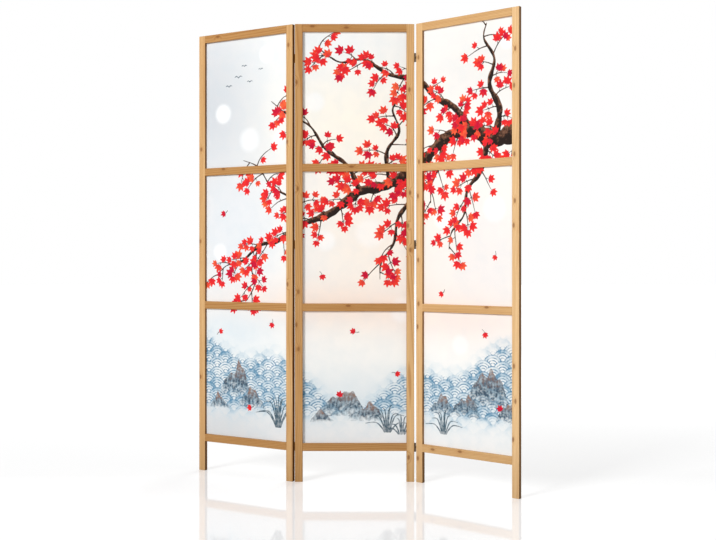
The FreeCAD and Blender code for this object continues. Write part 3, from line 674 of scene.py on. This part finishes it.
def draw_rocks(picture):
    """Draws steep rocks with broken tops, the far ones first. Their feet fade into the mist."""
    for across, up, half, tall in sorted(ROCKS, key=lambda rock: -rock[1]):
        area, dx, dz = window(picture, across, up, max(half, tall) + FAR)
        share = dx / half
        leaning = np.abs(share + 0.3 * math.sin(across) * (1 - np.abs(share)))
        broken = 0.82 + 0.13 * np.sin(5 * share + across) + 0.06 * np.sin(14 * share + up)
        top = tall * np.maximum(0, 1 - leaning) ** 0.75 * broken
        distance = (dz - top) * 0.6
        nearer = (distance < FAR) & (dz > 0) & ((distance < 0) | (distance < picture["rock"][area]))
        picture["rock"][area][nearer] = distance[nearer]
        picture["rock_rise"][area][nearer] = np.clip(dz / tall, 0, 1)[nearer]


def draw_grass(picture, draw):
    """Draws tufts of water grass, each a fan of bending blades, and a few far birds."""
    for across, up, count, tall in TUFTS:
        for place in range(count):
            lean = 2 * (place + draw.uniform(-0.3, 0.3)) / (count - 1) - 1
            height = tall * draw.uniform(0.75, 1) * (1 - 0.5 * lean * lean)
            bends = ((0, 0, 1.6), (0.14, 0.4, 2.6), (0.45, 0.8, 2.0), (1.0, 0.94 - 0.2 * abs(lean), 1.3))
            blade = [(across + (12 + 0.6 * tall * x) * lean, up + height * z, half) for x, z, half in bends]
            draw_stroke(picture, smooth_line(blade), "grass")
    for x, z, span in BIRDS:
        for side in (-1, 1):
            bends = ((0, 0, 1.6), (0.5, 0.42, 1.9), (1, 0.2, 1.3))
            wing = [(x + out * span * side, z + rise * span, half) for out, rise, half in bends]
            draw_stroke(picture, smooth_line(wing), "grass")


def ground_wash(x, z, paper):
    """The colour of the washes under the picture at each place, with the soft round lights in them."""
    ground = np.tile(np.array(paper, np.float32), (len(x), 1))
    for across, up, wide, tall, colour, strength in WASHES:
        amount = strength * np.exp(-(((x - across) / wide) ** 2 + ((z - up) / tall) ** 2) * 0.8)
        ground += amount[:, None] * (np.array(linear(colour)) - ground)
    for across, up, radius, strength in GLOWS:
        away = np.hypot(x - across, z - up)
        amount = np.clip((radius - away) / (0.5 * radius), 0, 1)
        amount = strength * amount * amount * (3 - 2 * amount)
        ground += amount[:, None] * (1.0 - ground)
    return ground


def sampled(field, x, z):
    """A field's values at places between its points."""
    column, row = x / PITCH, z / PITCH
    c, r = column.astype(int), row.astype(int)
    u, v = column - c, row - r
    low = field[r, c] * (1 - u) + field[r, c + 1] * u
    high = field[r + 1, c] * (1 - u) + field[r + 1, c + 1] * u
    return (low * (1 - v) + high * v).astype(np.float32)


def picture_group(inks):
    """The print as a node group, from the cloth's fields. Noise makes its ragged edges and pools."""
    tree = new_group("printed picture", {}, {"Color": "Color"})
    add = partial(add_node, tree)
    flat = add("UVMap", uv_map="picture")
    names = EDGE_FIELDS + TONE_FIELDS
    fields = {name: add("Attribute", attribute_name=name).outputs["Fac"] for name in names}

    # Pigment: grains of 2.5 mm, blots of 14 mm and pools of 60 mm.
    grain, blot, pool = (
        add("TexNoise", {"Vector": flat, "Scale": scale, "Detail": detail}, noise_dimensions="2D")
        for scale, detail in ((400.0, 3.0), (70.0, 4.0), (16.0, 4.0))
    )

    # Each motif's mask, 1 inside its edge, with that much raggedness and softness in mm.
    masks = {}
    for name, rough, ragged, soft in (
        ("wave_line", grain, 1.6, 0.5),
        ("rock", blot, 12.0, 1.2),
        ("grass", grain, 1.0, 0.5),
        ("bough", grain, 1.8, 0.45),
        ("leaf", grain, 1.5, 0.4),
    ):
        moved = add("Math", (rough, ragged, fields[name]), operation="MULTIPLY_ADD")
        fall = (moved, ragged / 2 - soft, ragged / 2 + soft, 1.0, 0.0)
        masks[name] = add("MapRange", fall, interpolation_type="SMOOTHSTEP")

    # The strength of a wet or a nearly dry brush, from the pools and blots.
    wet, uneven, dry, thin, dried = (
        add("MapRange", brush)
        for brush in (
            (pool, 0.32, 0.68, 0.35, 1.25),
            (blot, 0.3, 0.7, 0.7, 1.1),
            (blot, 0.36, 0.6, 0.3, 0.95),
            (blot, 0.3, 0.6, 0.55, 0.95),
            (blot, 0.4, 0.6, 0.2, 1.0),
        )
    )

    # The paper with its washes, a little cloudy.
    colour = add("Attribute", attribute_name="ground")
    cloudy = add("MapRange", (pool, 0.35, 0.65, 0.0, 0.07))

    # Waves: a wash that gathers at each scallop's rim, and arcs drawn with a nearly dry brush.
    wash = add("Math", (fields["wave_fill"], wet), operation="MULTIPLY")
    wash = add("Math", (wash, uneven), operation="MULTIPLY", use_clamp=True)
    deeper = add("MapRange", (wash, 0.25, 0.95, 0.0, 0.8))
    deeper = add("Math", (deeper, wash), operation="MULTIPLY")
    arcs = add("Math", (masks["wave_line"], dry), operation="MULTIPLY")

    # Rocks: wet slate ink that breaks up in dry strokes, with a warm wash on their tops.
    upright = add("Mapping", {"Vector": flat, "Rotation": (0, 0, 0.5), "Scale": (120, 34, 1)})
    strokes = add("TexNoise", {"Vector": upright, "Scale": 1.0, "Detail": 4.0}, noise_dimensions="2D")
    broken = add("MapRange", (strokes, 0.47, 0.68, 0.0, 0.9))
    rock = add("Mix", {0: broken, 6: inks.rock, 7: inks.rock_pale}, data_type="RGBA")
    rise = add("Math", (blot, 0.5, fields["rock_rise"]), operation="MULTIPLY_ADD")
    crown = add("MapRange", (rise, 0.62, 0.95))
    crown = add("Math", (crown, thin), operation="MULTIPLY")
    rock = add("Mix", {0: crown, 6: rock, 7: inks.moss}, data_type="RGBA")
    stone = add("MapRange", (rise, 0.22, 0.55))
    stone = add("Math", (stone, thin), operation="MULTIPLY")
    stone = add("Math", (masks["rock"], stone), operation="MULTIPLY")

    # Grass and birds in one thin slate ink.
    grass = add("Math", (masks["grass"], thin), operation="MULTIPLY")

    # Boughs: dark ink with a lit upper side where the brush ran dry.
    lit = add("Math", (fields["bough_side"], 0.32, blot), operation="MULTIPLY_ADD")
    lit = add("Math", (grain, 0.5, lit), operation="MULTIPLY_ADD")
    lit = add("MapRange", (lit, 0.78, 1.12, 0.0, 0.9))
    bark = add("Mix", {0: lit, 6: inks.ink, 7: inks.bark}, data_type="RGBA")

    # Leaves: each its own red, deeper round the palm and where the pigment dried at the edge.
    tone = add("Math", (blot, 0.5, fields["leaf_tone"]), operation="MULTIPLY_ADD")
    tone = add("Math", (tone, 0.25), operation="SUBTRACT")
    reds = ((0.0, inks.leaf_pale), (0.36, inks.leaf_red), (0.7, inks.leaf_red), (1.0, inks.leaf_deep))
    red = add("ValToRGB", {"Fac": tone}, stops=reds)
    palm = add("MapRange", (fields["leaf_reach"], 0.1, 0.55, 0.45, 0.0))
    rim = add("MapRange", (fields["leaf"], -1.7, -0.3, 0.0, 0.4))
    rim = add("Math", (rim, dried), operation="MULTIPLY")
    deep = add("Math", (palm, rim), operation="ADD", use_clamp=True)
    red = add("Mix", {0: deep, 6: red, 7: inks.leaf_deep}, data_type="RGBA")

    # The layers on the paper, from the lowest up.
    for amount, ink in (
        (cloudy, inks.water_pale),
        (wash, inks.water_pale),
        (deeper, inks.water_deep),
        (arcs, inks.water_deep),
        (stone, rock),
        (grass, inks.grass),
        (masks["bough"], bark),
        (masks["leaf"], red),
    ):
        colour = add("Mix", {0: amount, 6: colour, 7: ink}, data_type="RGBA")
    add("NodeGroupOutput", {"Color": colour})
    return tree


def cloth_material(name, cloth, group, print_share):
    """Thin non-woven print cloth: matt, with a fine even thread mark.

    The threads are drawn 1.1 mm apart, coarser than the real ones, so that they show in a close view.
    """
    material, add = new_material(name)
    flat = add("UVMap", uv_map="picture")
    per_thread = math.tau / 20 / cloth.thread  # a wave texture's band is tau / 20 wide at a scale of 1
    mark = {"Vector": flat, "Scale": per_thread, "Distortion": 0.6, "Detail": 1.0}
    warp, weft = (add("TexWave", mark, bands_direction=way).outputs["Fac"] for way in "XY")
    fibres = add("TexNoise", {"Vector": flat, "Scale": 900.0, "Detail": 3.0}, noise_dimensions="2D")
    threads = add("Math", (warp, weft), operation="ADD")
    height = add("Math", (fibres, 1.2, threads), operation="MULTIPLY_ADD")
    printed = add("Group", node_tree=group)
    colour = add("Mix", {0: print_share, 6: cloth.bare, 7: printed}, data_type="RGBA")
    shade = add("MapRange", (height, 0.0, 3.2, 0.965, 1.0))  # threads and fibres come to 3.2 at most
    finish = {
        "Base Color": add("VectorMath", {0: colour, "Scale": shade}, operation="SCALE"),
        "Roughness": 0.78,
        "Specular IOR Level": 0.3,
        "Sheen Weight": 0.06,
        "Normal": add("Bump", {"Strength": 0.12, "Distance": 0.1 * MM, "Height": height}),
    }
    add("OutputMaterial", {"Surface": add("BsdfPrincipled", finish)})
    return material


def hang_sheet(node, panel, number, cloth, picture, paper):
    """Makes one stretched sheet in its CAD sheet's place, with its part of the picture on it."""
    turn = panel_turn(panel)
    corners = np.array([v.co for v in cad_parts[node].data.vertices])
    along = np.array((math.cos(turn), math.sin(turn), 0))
    front = np.array((math.sin(turn), -math.cos(turn), 0))
    run, off, up = corners @ along, corners @ front, corners[:, 2]
    wide, thick, tall = np.ptp(run), np.ptp(off), np.ptp(up)
    centre = along * (run.max() + run.min()) / 2 + front * off.max()
    centre[2] = (up.max() + up.min()) / 2

    bm = bmesh.new()
    bmesh.ops.create_grid(
        bm,
        x_segments=round(wide / cloth.cell),
        y_segments=round(tall / cloth.cell),
        size=0.5,
        matrix=Matrix.Diagonal((wide, tall, 1, 1)),
    )
    # The cloth is held all round and stands a little off the flat between, each sheet in its own way.
    for vertex in bm.verts:
        u, v = 2 * vertex.co.x / wide, 2 * vertex.co.y / tall
        free = (1 - u**4) * (1 - v**4)
        swell = 0.6 + 0.4 * math.sin(5 * u + 2.3 * number) * math.cos(4 * v + number)
        vertex.co.z = -cloth.slack * free * swell
    rim_starts = 2 * len(bm.faces)
    bmesh.ops.solidify(bm, geom=bm.faces[:], thickness=thick)
    bm.verts.index_update()
    faces = [[vertex.index for vertex in face.verts] for face in bm.faces]
    # The rim's faces come last and in another order each run, so they are sorted.
    faces[rim_starts:] = sorted(faces[rim_starts:])
    mesh = bpy.data.meshes.new(node.replace("_sheet", "_print"))
    mesh.from_pydata([vertex.co for vertex in bm.verts], [], faces)
    bm.free()

    places = np.empty(len(mesh.vertices) * 3)
    mesh.vertices.foreach_get("co", places)
    places = places.reshape(-1, 3) / MM
    left_edge = PANEL_STARTS[panel] + (PANEL_WIDTH - wide / MM) / 2
    x, z = places[:, 0] + wide / MM / 2 + left_edge, places[:, 1] + centre[2] / MM
    for name, field in picture.items():
        mesh.attributes.new(name, "FLOAT", "POINT").data.foreach_set("value", sampled(field, x, z))
    ground = np.ones((len(x), 4), np.float32)
    ground[:, :3] = ground_wash(x, z, paper)
    mesh.attributes.new("ground", "FLOAT_COLOR", "POINT").data.foreach_set("color", ground.ravel())
    corner = np.empty(len(mesh.loops), np.int32)
    mesh.loops.foreach_get("vertex_index", corner)
    flat = np.stack([x, z], 1)[corner] * MM
    mesh.uv_layers.new(name="picture").data.foreach_set("uv", flat.astype(np.float32).ravel())

    # The printed face has the first material, and the rims and the back have the second.
    normals = np.empty(len(mesh.polygons) * 3)
    mesh.polygons.foreach_get("normal", normals)
    mesh.polygons.foreach_set("material_index", (normals.reshape(-1, 3)[:, 2] < 0.5).astype(np.int32))
    turned = Matrix.Translation(centre) @ Matrix.Rotation(turn, 4, "Z")
    mesh.transform(turned @ Matrix.Rotation(math.radians(90), 4, "X"))
    mesh.update()
    return put(mesh.name, mesh), (wide, tall)


class SCREEN_OT_sheets(bpy.types.Operator):
    """Draws the picture and stretches the nine printed sheets in the frames"""

    bl_idname = "screen.hang_sheets"
    bl_label = "Hang the printed sheets"

    def execute(self, context):
        scene = context.scene
        cloth, inks = scene.screen_cloth, scene.screen_inks
        draw = np.random.default_rng(scene.screen_stage.seed)
        picture = blank_picture()
        draw_boughs(picture, draw)
        draw_water(picture)
        draw_rocks(picture)
        draw_grass(picture, draw)
        group = picture_group(inks)
        front = cloth_material("polyester print cloth, printed face", cloth, group, 1.0)
        back = cloth_material("polyester print cloth, bare back", cloth, group, cloth.showing_through)
        for number, (panel, tier) in enumerate(product(PANELS, TIERS)):
            node = f"{panel}_{tier}_sheet"
            piece, flat = hang_sheet(node, panel, number, cloth, picture, inks.paper)
            piece.data.materials.append(front)
            piece.data.materials.append(back)
            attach(piece, panel)
            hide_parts(node)
        return {"FINISHED"}


def add_softbox(name, power, place, aim, size):
    """A square soft lamp that points at a place. It makes no bright image of itself in the floor."""
    lamp = bpy.data.lights.new(name, "AREA")
    lamp.energy, lamp.size = power, size
    made = put(name, lamp)
    made.location = place
    made.visible_glossy = False
    made.rotation_euler = (Vector(aim) - Vector(place)).to_track_quat("-Z", "Y").to_euler()


class SCREEN_OT_stage(bpy.types.Operator):
    """Sets the pale floor, the studio light and the camera"""

    bl_idname = "screen.set_stage"
    bl_label = "Set the stage"

    def execute(self, context):
        scene = context.scene
        stage = scene.screen_stage
        bm = bmesh.new()
        bmesh.ops.create_circle(bm, cap_ends=True, segments=96, radius=FLOOR_RADIUS)
        mesh = bpy.data.meshes.new("studio_floor")
        bm.to_mesh(mesh)
        bm.free()
        floor = put("studio_floor", mesh)

        # A sealed floor with a faint shine. It lights the screen as its own grey does, and the camera sees
        # a glow added to that, so it is white but for the screen's shadows and reflections. The glow is
        # weaker behind the screen, where the back softbox lights the floor, to keep the feet's shadows.
        material, add = new_material("resin floor, sealed")
        place = add("TexCoord").outputs["Object"]
        patches = add("TexNoise", {"Vector": place, "Scale": 2.0, "Detail": 2.0})
        rough = add("MapRange", (patches, 0.0, 1.0, 0.04, 0.07))
        shader = add("BsdfPrincipled", {"Base Color": stage.floor, "Roughness": rough, "IOR": 1.5})
        behind = add("SeparateXYZ", (place,)).outputs["Y"]
        needed = add("MapRange", (behind, -0.4, 0.15, 1.0, 0.76))
        seen = add("LightPath").outputs["Is Camera Ray"]
        seen = add("Math", (seen, needed), operation="MULTIPLY")
        glow = add("Emission", {"Color": stage.glow, "Strength": seen})
        add("OutputMaterial", {"Surface": add("AddShader", (shader, glow))})
        mesh.materials.append(material)

        # The surroundings are plain white where they are seen, and light the screen only dimly.
        world = bpy.data.worlds.new("white studio")
        scene.world = world
        world.use_nodes = True
        world.node_tree.nodes.clear()
        add = partial(add_node, world.node_tree)
        ray = add("LightPath").outputs
        seen = add("Math", (ray["Is Camera Ray"], ray["Is Glossy Ray"]), operation="MAXIMUM")
        seen = add("Math", (seen, ray["Is Transmission Ray"]), operation="MAXIMUM")
        even = add("Background", {"Color": linear("#fbfcff"), "Strength": stage.around})
        white = add("Background", {"Color": WHITE, "Strength": 1.0})
        add("OutputWorld", {"Surface": add("MixShader", (seen, even, white))})

        for name, place, aim, size in SOFTBOXES:
            add_softbox(f"{name}_softbox", getattr(stage, name), place, aim, size)

        camera = bpy.data.cameras.new("camera")
        camera.lens, camera.sensor_width = stage.lens, SENSOR
        camera.shift_y = -HORIZON
        scene.camera = put("camera", camera)
        scene.camera.location = EYE
        scene.camera.rotation_euler = (math.radians(90), 0, 0)
        scene.view_settings.view_transform = "Standard"
        return {"FINISHED"}


class SCREEN_PT_sidebar(bpy.types.Panel):
    """Lists the sizes, colours and steps of the folding screen"""

    bl_label = "Folding screen"
    bl_idname = "SCREEN_PT_sidebar"
    bl_space_type = "VIEW_3D"
    bl_region_type = "UI"
    bl_category = "Screen"

    def draw(self, context):
        for title, group, step in STEPS:
            box = self.layout.box()
            box.label(text=title)
            settings = getattr(context.scene, group)
            for name in settings.__annotations__:
                box.prop(settings, name)
            for operator in step:
                box.operator(operator)


STEPS = (
    ("Timber", "screen_pine", ("screen.finish_timber", "screen.finish_backing")),
    ("Hinges", "screen_steel", ("screen.finish_hinges",)),
    ("Cloth", "screen_cloth", ("screen.hang_sheets",)),
    ("Picture", "screen_inks", ()),
    ("Stage", "screen_stage", ("screen.set_stage",)),
)
SETTINGS = {
    "screen_pine": PineFinish,
    "screen_steel": HingeSteel,
    "screen_cloth": PrintedCloth,
    "screen_inks": PictureInks,
    "screen_stage": StageLight,
}
CLASSES = (
    *SETTINGS.values(),
    SCREEN_OT_timber,
    SCREEN_OT_backing,
    SCREEN_OT_hinges,
    SCREEN_OT_sheets,
    SCREEN_OT_stage,
    SCREEN_PT_sidebar,
)


def register():
    for made in CLASSES:
        bpy.utils.register_class(made)
    for name, made in SETTINGS.items():
        setattr(bpy.types.Scene, name, PointerProperty(type=made))


def unregister():
    for name in SETTINGS:
        delattr(bpy.types.Scene, name)
    for made in reversed(CLASSES):
        bpy.utils.unregister_class(made)


def main():
    """Dresses the frame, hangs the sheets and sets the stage."""
    register()
    bpy.ops.screen.finish_timber()
    bpy.ops.screen.finish_backing()
    bpy.ops.screen.finish_hinges()
    bpy.ops.screen.hang_sheets()
    bpy.ops.screen.set_stage()


if __name__ == "__main__":
    main()
